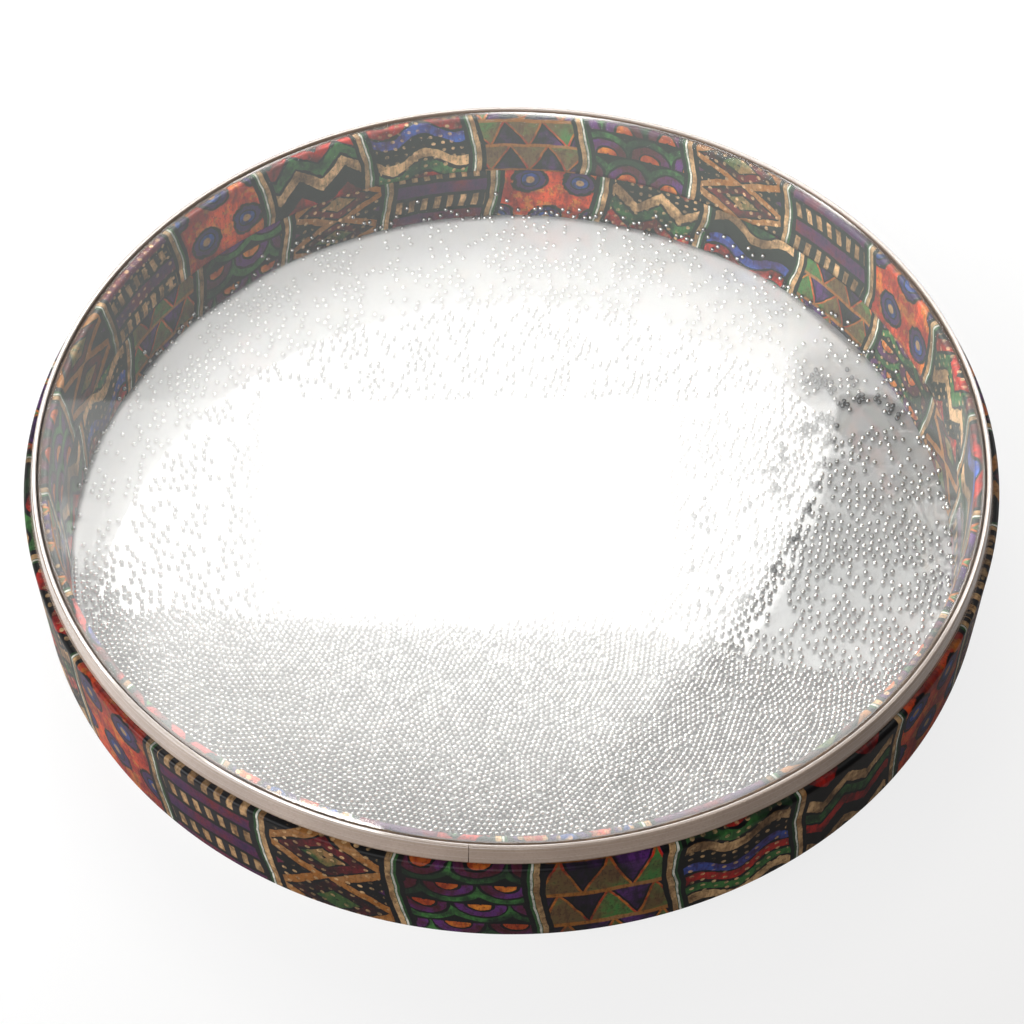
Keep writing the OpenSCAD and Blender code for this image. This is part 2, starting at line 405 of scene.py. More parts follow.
def floor_paper():
    """A matt floor that darkens to the front right, so that it sends less light up at the drum there.
    The camera sees it under a share of 0.8 of plain white, and beyond 1.6 m nothing but that."""
    g = Graph("floor_paper")
    to_camera = g.node("ShaderNodeLightPath")
    across, deep, _ = g.split(g.place())
    front_right = (across * 0.8 - deep).ramp(-0.1, 0.5)
    colour = g.mix(front_right, (0.86, 0.855, 0.85, 1), (0.12, 0.10, 0.085, 1))
    matt = g.node("ShaderNodeBsdfPrincipled", None, Base_Color=colour, Roughness=0.9)
    white = g.node("ShaderNodeEmission", None, WHITE, 1.0)
    far_off = (across * across + deep * deep).power(0.5)
    share = to_camera * far_off.ramp(0.5, 1.6, 0.8, 1.0)
    return g.finish(g.node("ShaderNodeMixShader", None, share, matt, white))


FLOOR_SIDE = 5.0          # half the floor's width, in metres
floor_x, floor_y = np.meshgrid([-FLOOR_SIDE, FLOOR_SIDE], [-FLOOR_SIDE, FLOOR_SIDE], indexing="ij")
floor_corners = np.stack([floor_x, floor_y, 0 * floor_x - 0.1 * MM], axis=-1)
floor = add_to_scene("floor", grid_mesh("floor", floor_corners), floor_paper())


def room_light():
    """The room by direction (x, y, z): rather bright low down behind the drum, bright in front of it up
    to 45 degrees, dark on the right, most of all near the floor, and a dark ellipse overhead, about a
    direction 66 degrees up. The shade in the ellipse is 1 - (across / 0.22)^2 - (x / 0.65)^2. Each ball
    mirrors all this as a bright crescent and a dark dash. The camera sees plain white."""
    g = Graph("room", "worlds")
    x, y, z = g.split(g.node("ShaderNodeTexCoord", out=0))
    front = y.ramp(0.35, -0.10) * z.ramp(0.84, 0.68)
    front = front * (1 - 0.9 * x.ramp(0.0, 0.4) * z.ramp(0.38, 0.22))
    level = 0.36 + 0.13 * z.ramp(0.2, 0.7) + front * (2.6 - 2.4 * x.ramp(-0.2, 0.4))
    level = level * (1 - 0.8 * x.ramp(0.0, 0.45) * y.ramp(0.35, -0.1))
    level = level + 2.2 * y.ramp(0.30, 0.55) * z.ramp(0.64, 0.52)
    across = (y * 0.914 + z * 0.407) / 0.22
    overhead = (1.0 - across * across - (x / 0.65) * (x / 0.65)).ramp(-0.2, 0.4, 0.0, 0.92)
    colour = g.node("ShaderNodeVectorMath", {"operation": "SCALE"}, (0.985, 0.99, 1.0),
                    Scale=level * (1 - overhead))
    lit = g.node("ShaderNodeBackground", None, colour, 1.0)
    seen = g.node("ShaderNodeBackground", None, WHITE, 1.0)
    return g.finish(g.node("ShaderNodeMixShader", None, g.node("ShaderNodeLightPath"), lit, seen))


bpy.context.scene.world = room_light()

# a lamp at the left, turned to face the drum: watts = radiance x pi x width x height
LAMP_X, LAMP_Y, LAMP_Z = -1.9, -0.9, 0.85
LAMP_WIDE, LAMP_HIGH, LAMP_RADIANCE = 1.0, 0.6, 10.0
lamp_data = bpy.data.lights.new("lamp_left", "AREA")
lamp_data.shape, lamp_data.size, lamp_data.size_y = "RECTANGLE", LAMP_WIDE, LAMP_HIGH
lamp_data.energy = LAMP_RADIANCE * math.pi * LAMP_WIDE * LAMP_HIGH
lamp = add_to_scene("lamp_left", lamp_data)
lamp.location = (LAMP_X, LAMP_Y, LAMP_Z)
lamp.rotation_euler = (math.atan2(math.hypot(LAMP_X, LAMP_Y), LAMP_Z), 0, math.atan2(LAMP_X, -LAMP_Y))
bpy.context.scene.view_settings.view_transform = "Standard"
print("window corners:", np.round(through_film(corner_x, corner_y).reshape(-1, 3), 2).tolist())

# %% [markdown]
# ## Finishes of the heads, the hoops and the shell
# **Clear film** is a mirror and a window at once. A Fresnel node says how much each ray is mirrored,
# and mixes a glossy shader with one that is almost wholly see-through; a trace of white in it stands
# for dust and the film's own haze. Rays already inside the film pass its far side unmirrored.
# **White film** is an even white with a hard glossy coat. **Hoops** are a pale grey-beige plastic
# strip, polished, with a fine speckle and faint drawing lines along the strip.
# **The shell** is pressed wood fibre, seen only where the cloth leaves it bare.

# %% Film, hoop and fibre materials
# how strongly each mirrors; high values make up for a window that is dimmer than the real one
FILM_IOR, HEAD_IOR, HOOP_IOR = 1.85, 2.0, 1.8


def clear_film():
    """share x mirror + (1 - share) x haze, where share is the Fresnel term, or 0 from inside."""
    g = Graph("clear_film")
    ripple = g.bump(g.noise(g.place(), 9.0, detail=1.0), 0.0002)
    haze = g.node("ShaderNodeBsdfPrincipled", None, Base_Color=(0.9, 0.92, 0.92, 1), Roughness=0.3,
                  Alpha=0.025)
    mirror = g.node("ShaderNodeBsdfAnisotropic", None, Color=WHITE, Roughness=0.02, Normal=ripple)
    from_inside = g.node("ShaderNodeNewGeometry", out=6)
    share = g.node("ShaderNodeFresnel", None, IOR=FILM_IOR) * (1.0 - from_inside)
    return g.finish(g.node("ShaderNodeMixShader", None, share, haze, mirror))


def white_film():
    """Nearly even white: two close greys mixed by soft clouds, under a clear coat."""
    g = Graph("white_film")
    cloud = g.noise(g.place(), 14.0, detail=3.0)
    colour = g.mix(cloud.ramp(0.3, 0.7), rgb(173, 175, 174), rgb(181, 182, 181))
    ripple = g.bump(g.noise(g.place(), 11.0, detail=1.0), 0.0002)
    return g.finish(g.node("ShaderNodeBsdfPrincipled", None, Base_Color=colour, Roughness=0.16,
                           Coat_Weight=1.0, Coat_Roughness=0.03, Coat_IOR=HEAD_IOR, Normal=ripple))


def hoop_plastic():
    """Even plastic with a faint fine speckle and, fainter still, drawing lines: noise that is stretched
    round the drum by reading it at (radius, height) only."""
    g = Graph("hoop_plastic")
    x, y, z = g.split(g.place())
    radius = (x * x + y * y).power(0.5)
    lines = g.noise(g.node("ShaderNodeCombineXYZ", None, radius, 0.0, z), 2600.0, detail=2.0)
    cloud = g.noise(g.place(), 26.0, detail=3.0)
    speck = g.noise(g.place(), 1100.0, detail=1.0)
    colour = g.mix(cloud.ramp(0.35, 0.65), rgb(123, 106, 93), rgb(134, 117, 104))
    colour = g.mix(speck.ramp(0.45, 0.75) * 0.30, colour, rgb(100, 85, 74))
    return g.finish(g.node("ShaderNodeBsdfPrincipled", None, Base_Color=colour,
                           Roughness=lines.ramp(0.3, 0.7, 0.24, 0.28), Coat_Weight=1.0,
                           Coat_Roughness=0.05, Coat_IOR=HOOP_IOR, Normal=g.bump(speck, 0.00001, 0.3)))


def wood_fibre():
    """Short fibres that run round the shell, in two browns."""
    g = Graph("wood_fibre")
    x, y, z = g.split(g.place())
    around = y.math("ARCTAN2", x)
    radius = (x * x + y * y).power(0.5)
    unrolled = g.node("ShaderNodeCombineXYZ", None, around * 0.2, radius, z)
    fibre = g.noise(unrolled, 900.0, detail=3.0, stretch=(0.12, 1, 1))
    colour = g.mix(fibre.ramp(0.3, 0.7), rgb(74, 52, 36), rgb(122, 92, 64))
    return g.finish(g.node("ShaderNodeBsdfPrincipled", None, Base_Color=colour, Roughness=0.75,
                           Normal=g.bump(fibre, 0.0001)))


finish_of = {"upper_head": clear_film(), "lower_head": white_film(), "shell": wood_fibre()}
for node_name, material in finish_of.items():
    for slot in bpy.data.objects[node_name].material_slots:
        slot.material = material
print("finishes set on", ", ".join(finish_of))

# %% [markdown]
# ## The printed cloth
# The real cloth carries a dense print in rich, mottled colours with dark outlines. The print here is
# a design of the same colours and scale made of common motifs: zigzags, ringed discs, nested
# diamonds, rows of bars, teeth, scales, waves and rows of dots, each in a panel of its own between
# striped posts. It is all arithmetic on the cloth's own texture coordinates, which are metres along
# the cut and across it, so the print bends round the folds as real cloth does.

# %% Mix the print's colours
INK = rgb(9, 8, 9)
CREAM, GOLD, TAN = rgb(196, 158, 112), rgb(184, 112, 34), rgb(128, 92, 56)
RED, MAROON, ORANGE = rgb(164, 30, 20), rgb(88, 16, 22), rgb(190, 68, 24)
GREEN, MOSS = rgb(52, 100, 46), rgb(26, 48, 30)
NAVY, BLUE, PURPLE = rgb(24, 24, 74), rgb(44, 76, 150), rgb(74, 32, 92)
CHARCOAL, CHALK = rgb(26, 24, 26), rgb(206, 204, 192)


def print_pattern(g, start, panel, height):
    """The print as one colour. Coordinates on the cloth: u along it and v across it, in metres.
    Panel number i = floor(u / panel), and a = what is left, 0 to 1 across the panel. A wobble of u and
    v, and a lean of the panels, make it look drawn by hand."""
    cut = g.node("ShaderNodeUVMap", {"uv_map": "cut"})
    wobble = 0.0034
    wx, wy, _ = g.split(g.noise(cut, 60.0, detail=3.0, out=1))
    u0, v0, _ = g.split(cut)
    u = u0 + start + wobble * (wx - 0.5)
    v = v0 + wobble * (wy - 0.5)
    lean = u / panel + 0.05 * (v * (2.9 / height) + 0.8).sine()
    number = lean.floor()
    a = lean - number
    x, y = a * panel, v
    wash = g.noise(cut, 34.0, detail=4.0, roughness=0.65)
    cloud = wash.ramp(0.40, 0.60)
    patch = g.noise(cut, 120.0, detail=4.0, roughness=0.65).ramp(0.40, 0.62)
    brush = g.noise(cut, 420.0, detail=3.0, roughness=0.7, stretch=(1, 0.3, 1)).ramp(0.38, 0.64)

    def tone(first, second, by=cloud):
        """Two colours laid wet into each other, with dry-brush streaks of the first over the second."""
        return g.mix(by * 0.8 + brush * 0.2, first, second)

    def bands(t, count, *colours, ink=0.36):
        """Cuts t into bands of width 1, which take the colours in turn, with an ink line between: ink
        where |t mod 1 - 0.5| is over `ink`, give or take the patches."""
        which = t.floor() % float(count)
        colour = colours[0]
        for i in range(1, count):
            colour = g.mix(which > i - 0.5, colour, colours[i])
        edge = (abs(t % 1.0 - 0.5) + 0.10 * (patch - 0.5)).ramp(ink, ink + 0.05)
        return g.mix(edge, colour, INK)

    def staggered(wide, high):
        """The row's number, and x, -0.5 to 0.5, in cells that shift by half in every other row."""
        row = (y / high).floor()
        return row, (x / wide + 0.5 * (row % 2.0)) % 1.0 - 0.5

    # the motifs, with their sizes in metres
    def zigzag():
        tooth_wide, stripe = 0.0236, 0.0088
        tooth = abs((x / tooth_wide) % 1.0 - 0.5)
        return bands(y / stripe + tooth * 2.4, 4,
                     tone(MAROON, RED), INK, tone(TAN, CREAM), tone(MOSS, GREEN))

    def rings():
        cell = 0.0245
        _, cx = staggered(cell, cell)
        cy = (y / cell) % 1.0 - 0.5
        d = (cx * cx + cy * cy).power(0.5)
        rim = g.mix(d.ramp(0.17, 0.20), tone(NAVY, BLUE, patch), tone(PURPLE, NAVY))
        disc = g.mix(d.ramp(0.07, 0.10), tone(CREAM, TAN), rim)
        disc = g.mix(d.near(0.185, 0.016, 0.5), disc, INK)
        ground = tone(RED, ORANGE)
        ground = g.mix(patch.ramp(0.55, 0.95) * 0.7, ground, GOLD)
        colour = g.mix(d.ramp(0.30, 0.33), disc, ground)
        return g.mix((d + 0.05 * (patch - 0.5)).near(0.325, 0.034, 0.4), colour, INK)

    def diamonds():
        row_high = height * 0.62
        t = 2.0 * abs(a - 0.5) + 1.7 * abs((y / row_high) % 1.0 - 0.5)
        return bands(t * 2.6, 5,
                     tone(GREEN, TAN), tone(INK, MAROON), tone(GOLD, TAN), INK, tone(PURPLE, MAROON))

    def bars():
        row_high, tick_wide = 0.0098, 0.0062
        row, cx = staggered(tick_wide, row_high)
        ticks = g.mix(abs(cx).ramp(0.20, 0.27), tone(TAN, CREAM, patch), CHARCOAL)
        colour = g.mix((row % 2.0) > 0.5, ticks, tone(PURPLE, MAROON))
        return g.mix(abs((y / row_high) % 1.0 - 0.5).ramp(0.36, 0.41), colour, INK)

    def teeth():
        row_high, tooth_wide = height * 0.47, 0.0185
        t = (y / row_high) % 1.0
        tooth = 2.0 * abs((x / tooth_wide) % 1.0 - 0.5)
        inside = (tooth - t).ramp(-0.03, 0.03)
        colour = g.mix(inside, tone(TAN, GREEN), tone(INK, PURPLE))
        colour = g.mix((tooth - t).near(0.0, 0.06, 0.3), colour, tone(GOLD, RED, patch))
        colour = g.mix((tooth - t).near(0.12, 0.05, 0.4), colour, INK)
        return g.mix(abs(t - 0.5).ramp(0.42, 0.46), colour, tone(GOLD, TAN))

    def scales():
        row_high, scale_wide, squash = 0.0150, 0.0215, 2.04
        _, cx = staggered(scale_wide, row_high)
        cy = (y / row_high) % 1.0
        d = (cx * cx * squash + cy * cy).power(0.5)
        colour = bands(d * 3.0, 3, tone(ORANGE, GOLD), tone(MAROON, PURPLE), tone(MOSS, GREEN))
        return g.mix(d.ramp(0.90, 0.95), colour, INK)

    def waves():
        swing, turns, stripe = 0.0042, 190.0, 0.0078
        t = (y + swing * (x * turns).sine()) / stripe
        return bands(t, 5, tone(MOSS, GREEN), tone(TAN, CREAM), INK, tone(PURPLE, BLUE), tone(MAROON, RED))

    motifs = [zigzag(), rings(), bars(), diamonds(), scales(), teeth(), waves()]
    kind = number % float(len(motifs))
    colour = motifs[0]
    for i, motif in enumerate(motifs[1:], 1):
        colour = g.mix(kind.near(float(i), 0.4), colour, motif)

    # posts between the panels: cream, or green with a chalk line, and black on both sides
    off = abs(a - 0.5)
    chalk_line = g.mix(off.near(0.486, 0.008, 0.3), tone(GREEN, MOSS), CHALK)
    post = g.mix((number % 2.0) > 0.5, tone(CREAM, TAN, patch), chalk_line)
    colour = g.mix(off.ramp(0.415, 0.421), colour, INK)
    colour = g.mix(off.ramp(0.455, 0.460), colour, post)

    # rows of small cream dots on every third panel
    dot_step = 0.0046
    dx, dy = (x / dot_step) % 1.0 - 0.5, (y / dot_step) % 1.0 - 0.5
    dots = (dx * dx + dy * dy).ramp(0.055, 0.035) * (number % 3.0).near(1.0, 0.4) * off.ramp(0.41, 0.40)
    colour = g.mix(dots * patch, colour, CREAM)

    # hand-laid ink: blotches of dark, streaks of a dry brush and a fine speckle
    colour = g.mix(wash.ramp(0.62, 0.40, 0.0, 0.55), colour, INK)
    colour = g.mix(brush.ramp(0.5, 0.0, 0.0, 0.35), colour, INK)
    speck = g.noise(cut, 800.0, detail=2.0).ramp(0.58, 0.68)
    return g.mix(speck * 0.5, colour, INK)


def printed_cloth(name, start, panel, height, painted_light_gain, lift, specular, roughness, coat, coat_roughness):
    """The cloth's colour is gain x print + lift, under a thin glossy laminate. The gain is painted light
    and shade: one print, made darker on the outer wrap and brighter on the linings. The lift is a
    painted veil of mirrored light. The weave's threads are 0.8 mm apart: sin(7800 u) sin(7800 v)."""
    g = Graph(name)
    colour = g.node("ShaderNodeVectorMath", {"operation": "MULTIPLY_ADD"},
                    print_pattern(g, start, panel, height), (painted_light_gain, painted_light_gain, painted_light_gain), (lift, 1.3 * lift, lift))
    cut = g.node("ShaderNodeUVMap", {"uv_map": "cut"})
    u, v, _ = g.split(cut)
    weave = ((u * 7800.0).sine() * (v * 7800.0).sine()) * 0.5 + 0.5
    swell = g.noise(cut, 45.0, detail=2.0)
    bump = g.bump(swell * 6.0 + weave * 0.25, 0.00012, 0.6)
    return g.finish(g.node("ShaderNodeBsdfPrincipled", None, Base_Color=colour, Roughness=roughness,
                           Specular_IOR_Level=specular, Coat_Weight=coat,
                           Coat_Roughness=coat_roughness, Normal=bump))


PANEL = 0.0531            # metres of cloth from post to post
# painted light and shade: the same print is darkened outside (gain 0.66) and brightened on the lining
# (gain 1.90), and the lining's lift is a painted veil of mirrored light
outside_print = printed_cloth("outside_print", start=0.013, panel=PANEL, height=0.050, painted_light_gain=0.66, lift=0.0,
                              specular=0.04, roughness=0.6, coat=0.22, coat_roughness=0.25)
inside_print = printed_cloth("inside_print", start=0.031, panel=PANEL, height=0.034, painted_light_gain=1.90, lift=0.035,
                             specular=0.3, roughness=0.4, coat=0.15, coat_roughness=0.12)
print("print nodes:", len(outside_print.node_tree.nodes))

# %% [markdown]
# ## The cloth itself
# All three cloths go once round the drum, so each is a profile in the (r, z) plane carried round the
# axis: point = (r cos t, r sin t, z). The outer wrap runs in over the upper shoulder, down the wall
# and in under the lower shoulder. Each lining strip goes from the wall over its bearing edge, where a
# hand-cut edge shows through the clear film, so there the profile stops at a radius that wanders. A
# Solidify modifier gives the cloth its thickness.

# %% Wrap and linings
AROUND = 900              # steps round the drum, for cloths and hoops
EDGE_WAVES = ((9, 17, 31, 64, 117, 190), (7, 19, 37, 71, 131, 210))
LAP_LIFT = 0.5 * MM       # how far the upper layer of a lapped joint stands out


def strip(name, profile, seed, swell, ends, start, shift=0.0, lap=0.0, flip=False):
    """Carries the (r, z) profile round the axis. The surface swells by a few low waves, `ends` moves the
    first and last edge along the profile, in millimetres, and lap makes the strip overlap itself by
    that angle. The joint lies at the angle `start`, and `shift` is where on the bolt of cloth the strip
    was cut. Returns the mesh and the strip's flat length and width."""
    profile = refill(np.asarray(profile) * MM, longest=2.2 * MM)
    far = run_length(profile)
    share = far / far[-1]
    turn = np.linspace(0, 2 * np.pi + lap, AROUND)[:, None] + math.radians(start)
    first, last = (size * MM * np.clip(0.6 + wrinkles(turn, 0.0, waves, seed + k, 0.6), 0, 2)
                   for k, (size, waves) in enumerate(zip(ends, EDGE_WAVES), 1))
    along = first + share * (far[-1] - first - last)
    r, z = np.interp(along, far, profile[:, 0]), np.interp(along, far, profile[:, 1])
    bulge = wrinkles(turn, along, (3, 8, 13, 21, 34), seed, swell * MM, per_metre=40.0)
    r = r + bulge * np.sin(np.pi * share) ** 2
    if lap:
        r = r + LAP_LIFT * np.clip((turn - turn[0, 0] - 2 * np.pi) / (lap * 0.15) + 1, 0, 1)
    points = about_axis(r, turn, z)
    widest = profile[:, 0].max()
    uv = np.stack([(turn - turn[0, 0]) * widest + shift + 0 * along, along], axis=-1)
    if flip:
        points, uv = points[:, ::-1], uv[:, ::-1]
    return grid_mesh(name, points, uv=uv), (2 * np.pi + lap) * widest, far[-1]


tall = 66.4               # the whole drum, in millimetres, as the profiles are
shoulder = wrap_top / MM
wrap_profile = path((199.0, shoulder), arc((201.5, shoulder - 1.7), 1.7, 90, 0, 7),
                    arc((201.5, tall - shoulder + 1.7), 1.7, 0, -90, 7), (199.0, tall - shoulder))
upper_profile = path((191.68, 32.1), (191.68, 38.2), (192.02, 38.8),
                     arc((193.32, 64.0), 1.3, 180, 90, 7), (195.1, 65.3))
lower_profile = path((192.02, 38.0), arc((193.32, 2.4), 1.3, 180, 270, 7), (195.1, 1.1))

for name, node, slot, finish, thickness, profile, cut in (
        ("wrap_cloth", "outer_wrap", "printed_cloth", outside_print, 0.45, wrap_profile,
         dict(seed=3, swell=0.16, ends=(0.15, 0.15), start=97, lap=0.04, flip=True)),
        ("upper_lining", "upper_liner", "lining_cloth", inside_print, 0.26, upper_profile,
         dict(seed=21, swell=0.10, ends=(0.35, 0.40), start=262, flip=True)),
        ("lower_lining", "lower_liner", "lining_cloth", inside_print, 0.26, lower_profile,
         dict(seed=33, swell=0.05, ends=(0.0, 0.3), start=250, shift=0.871))):
    mesh, flat_long, flat_wide = strip(name, profile, **cut)
    piece = add_object(name, mesh, "drum", slot, finish, node)
    solid = piece.modifiers.new("cloth thickness", "SOLIDIFY")
    solid.thickness, solid.offset = thickness * MM, -1.0
    print(f"{name}: cut {flat_wide / MM:.0f} x {flat_long / MM:.0f} mm")

# %% [markdown]
# ## Hoops
# A hoop is a strip of plastic bent round and butted: a flat foot, a face that slants in and a rounded
# crown with a narrow flat land. The CAD node has this shape already, made of triangles. A mesh of the
# same profile with many more steps round the drum gives cleaner highlights, and its two cut ends
# leave the fine joint line that shows at the front.

# %% Upper and lower hoop
def hoop_profile():
    """The closed profile, run so that its outside lies to the right: foot, slant, crown, inner face. The
    slant touches the crown's circle at the angle of the line from its centre to the foot's corner, plus
    acos(crown / that line's length)."""
    crown = 0.6           # radius of the arcs on both sides of the land
    inner, outer, corner = np.array([197.3, 65.8]), np.array([198.1, 65.8]), np.array([200.55, 59.35])
    across, up = corner - outer
    touch = math.degrees(math.atan2(up, across) + math.acos(crown / math.hypot(across, up)))
    foot = path((196.72, 58.55), (200.3, 58.55), arc((200.3, 58.8), 0.25, -90, 0, 4))
    slant = path(arc((200.3, 59.27), 0.25, 0, touch, 3), arc(outer, crown, touch, 90, 9))
    return path(foot, slant, (198.04, 66.4), (197.36, 66.4), arc(inner, crown, 90, 180, 9), (196.72, 64.5))


def add_hoop(name, node, joint, upside_down):
    """Carries the profile round the axis, but for a narrow gap at the angle joint."""
    r, z = (hoop_profile() * MM).T
    if upside_down:
        r, z = r[::-1], (drum_height - z)[::-1]
    half_gap = 0.11 * MM / 0.2      # as an angle, at a radius of 0.2 m
    turn = np.linspace(joint + half_gap, joint + 2 * np.pi - half_gap, AROUND)[:, None]
    mesh = grid_mesh(name, about_axis(r, turn, z), closed_v=True, caps=True, sharp=50)
    add_object(name, mesh, "drum", "hoop_plastic", hoop_finish, node)


hoop_finish = hoop_plastic()
add_hoop("upper_hoop_strip", "upper_hoop", math.radians(265.5), False)
add_hoop("lower_hoop_strip", "lower_hoop", math.radians(85.5), True)
print("hoops done")

# %% [markdown]
# ## The shot
# Ten thousand balls can't be placed by hand, and a perfect lattice would look wrong: loose balls pack
# in patches of rows with faults between them. So they are dropped at random and then crowded: at
# each step every two balls that are too close push each other apart, everything drifts a little
# towards the front, and the wall holds it in. Each ball looks only at the nine squares of a grid
# round its own, which keeps a step to a few milliseconds. The three lanes of the CAD model (calm
# middle, swirling ring, row along the wall) hold here too, so the joints can turn them.

# %% Crowd the balls
# all in millimetres; a grid of 176 squares a side, of which each holds up to 4 balls, covers the drum
BALL = 2 * ball_radius / MM
GRID, SLOTS = 176, 4
NINE = np.array([a * GRID + b for a in (-1, 0, 1) for b in (-1, 0, 1)])
CALM_OUT, SWIRL_IN, SWIRL_OUT, WALL_LANE = 41.0, 43.7, 187.45, 190.15


def crowd(places, steps, drift, low, high, shake, rng, reach=BALL):
    """Moves each ball by 0.42 x the sum of (reach - distance) over its close neighbours, away from them,
    at each step, with a drift, a shake that dies away, and its distance from the axis held within low to
    high."""
    p = places.copy()
    own = np.arange(len(p))[:, None]
    for step in range(steps):
        p += np.array([0, drift]) + rng.normal(0, shake * (1 - step / steps), p.shape)
        r = np.hypot(*p.T)[:, None]
        p *= np.clip(r, low, high) / r
        key = ((p // reach).astype(int) + GRID // 2) @ [GRID, 1]
        order = np.argsort(key, kind="stable")
        rank = np.arange(len(p)) - np.searchsorted(key[order], key[order])
        table = np.full((GRID * GRID, SLOTS), -1)
        fits = rank < SLOTS
        table[key[order][fits], rank[fits]] = order[fits]
        near = table[key[:, None] + NINE].reshape(len(p), -1)
        gap = p[:, None] - p[near]
        distance = np.maximum(np.hypot(gap[..., 0], gap[..., 1]), 1e-6)
        push = np.where((near >= 0) & (near != own) & (distance < reach), (reach - distance) / distance, 0)
        p += 0.42 * (gap * push[..., None]).sum(1)
    r = np.hypot(*p.T)[:, None]
    return p * np.clip(r, low, high) / r


# the bed's back edge, half the width of the field that balls are thrown on, how many are thrown, and
# the share of the bed that is covered
BED_X = [-190, -172, -154, -133, -90, -5, 54, 80, 104, 129, 149, 174, 190]
BED_Y = [-19.5, -36, -44, -47.5, -50.6, -52.7, -56, -60, -68, -76, -82, -67, -60]
FIELD, THROWN, COVERED = 188, 60000, 0.87
rng = np.random.default_rng(8)
throw = rng.uniform(-FIELD, FIELD, (THROWN, 2))
radius = np.hypot(*throw.T)
in_bed = (radius < 187) & (throw[:, 1] < np.interp(throw[:, 0], BED_X, BED_Y))
bed_area = in_bed.mean() * (2 * FIELD) ** 2
wanted = int(bed_area * COVERED / (np.pi * (BALL / 2) ** 2))
bed = crowd(throw[in_bed][:wanted], 260, -0.012, SWIRL_IN, SWIRL_OUT, shake=0.12, rng=rng)
print(f"bed: {len(bed)} balls on {bed_area:.0f} square mm")

# %% [markdown]
# ## The strewn balls
# Behind the bed the balls lie apart. How many there are depends on the place: a few millimetres
# apart over the back, closer on the right, and thick just behind the bed. They too are crowded for
# a few steps, with a longer reach, which spaces them evenly. On the right a ragged row of small groups
# of balls much darker than the rest has run together, and of those along the wall many cling to it
# above the head. These stay on the drum when the rest rolls by below them or falls.

# %% Strew the rest
# where the much darker balls lie: x, y and spread in millimetres, and how many
DARK_BALL_SPOTS = np.array([(139, 87, 4.5, 6), (146, 81, 3, 8), (155, 85, 4, 3), (142, 60, 3, 6), (132, 54, 3.5, 7),
                 (122, 40, 3, 4), (115, 31, 2, 3), (119, 20, 4, 4), (104, 5, 14, 4), (86, 2, 8, 5),
                 (96, -30, 10, 5), (82, -44, 6, 3), (152, 70, 1.5, 4), (160, 73.5, 1.5, 4),
                 (167, 73, 1.5, 3), (173, 67, 1.5, 3), (177, 62, 1.2, 2), (146, 58, 1.5, 3),
                 (143, 47, 1.5, 3), (139, 35, 1.8, 3), (135.5, 23, 1.8, 3), (131, 10, 2, 3),
                 (124, -6, 2.5, 2), (113, -26, 3, 3), (101, -42, 3, 3)])
x, y = throw.T
ahead = y - np.interp(x, BED_X, BED_Y)
# where there are more balls (the right, and a heap beside a slanting line there) or hardly any
right_side = np.clip((x - 92 + 0.5 * y) / 40, 0, 1) * np.clip((72 - y) / 16, 0, 1)
beside = x - (128 + 0.69 * (y - 5))
heap = np.exp(-beside / 14) * (beside > -3) * np.clip((8 - y) / 14, 0, 1) / 15
bare = np.clip(1.6 - np.hypot((x - 160) / 15, (y - 62) / 12), 0, 1)
# balls to the square millimetre: everywhere, on the right, just behind the bed, in the heap
density = 1 / 31 + right_side / 40 + np.exp(-ahead / 5.0) * (1 / 16 + right_side / 9) + heap
density = density * (1 - 0.9 * bare)
thrown = THROWN / (2 * FIELD) ** 2
chosen = (ahead > 1) & (radius < SWIRL_OUT) & (rng.uniform(size=THROWN) < density / thrown)
strewn = crowd(throw[chosen], 14, 0.0, 0.0, SWIRL_OUT, shake=0.0, rng=rng, reach=3.9)
spots = DARK_BALL_SPOTS.repeat(DARK_BALL_SPOTS[:, 3].astype(int), axis=0)
chain = spots[:, :2] + spots[:, 2:3] * rng.normal(0, 0.7, (len(spots), 2))
dark_ball = np.concatenate([np.zeros(len(strewn), bool), np.ones(len(chain), bool)])
loose = np.concatenate([strewn, chain])
middle = np.hypot(*loose.T) < (CALM_OUT + SWIRL_IN) / 2
calm = crowd(loose[middle], 30, 0.0, 0.0, CALM_OUT, shake=0.0, rng=rng)
swirl = crowd(np.concatenate([bed, loose[~middle]]), 40, 0.0, SWIRL_IN, SWIRL_OUT, shake=0.0, rng=rng)
is_bed = np.arange(len(swirl)) < len(bed)
is_dark_ball = np.concatenate([np.zeros(len(bed), bool), dark_ball[~middle]])

# the row along the wall: close-packed beside the bed, then with gaps, where most balls cling to the wall
CLING_SHARE, CLING_MEAN, CLING_MOST = 0.80, 4.3, 16
bed_arc = np.arccos(np.clip(-np.array([BED_Y[0], BED_Y[-1]]) / WALL_LANE, -1, 1))
row_step = (BALL + 0.08) / WALL_LANE
row = np.arange(-np.pi / 2 - bed_arc[0], -np.pi / 2 + bed_arc[1], row_step)
rest_of_wall = np.arange(row[-1] + 2.2 * row_step, row[0] + 2 * np.pi - 2.2 * row_step, 1.1 * row_step)
rest_of_wall = rest_of_wall[rng.uniform(size=len(rest_of_wall)) < 0.60 + 0.36 * np.cos(rest_of_wall - 1.2)]
turn = np.concatenate([row, rest_of_wall])
lifted = BALL + 0.25 + rng.exponential(CLING_MEAN, len(rest_of_wall))
lifted = lifted * (rng.uniform(size=len(rest_of_wall)) < CLING_SHARE)
clinging = np.concatenate([np.zeros(len(row)), np.minimum(lifted, CLING_MOST)])
wall = about_axis(WALL_LANE, turn, clinging)
print(f"calm {len(calm)}, swirling {len(swirl)}, wall {len(wall)} balls, "
      f"in all {len(calm) + len(swirl) + len(wall)}")

# %% [markdown]
# ## One ball, many times
# A ball covers six pixels, so a few dozen faces are enough: a cube of two by two squares a side,
# blown up to a sphere by dividing each corner by its length. All balls of a piece go into one mesh:
# the corners are the ball's corners plus each ball's place, worked out as one array. Each ball also
# carries a number of its own, its tint, which makes it a shade brighter or duller.

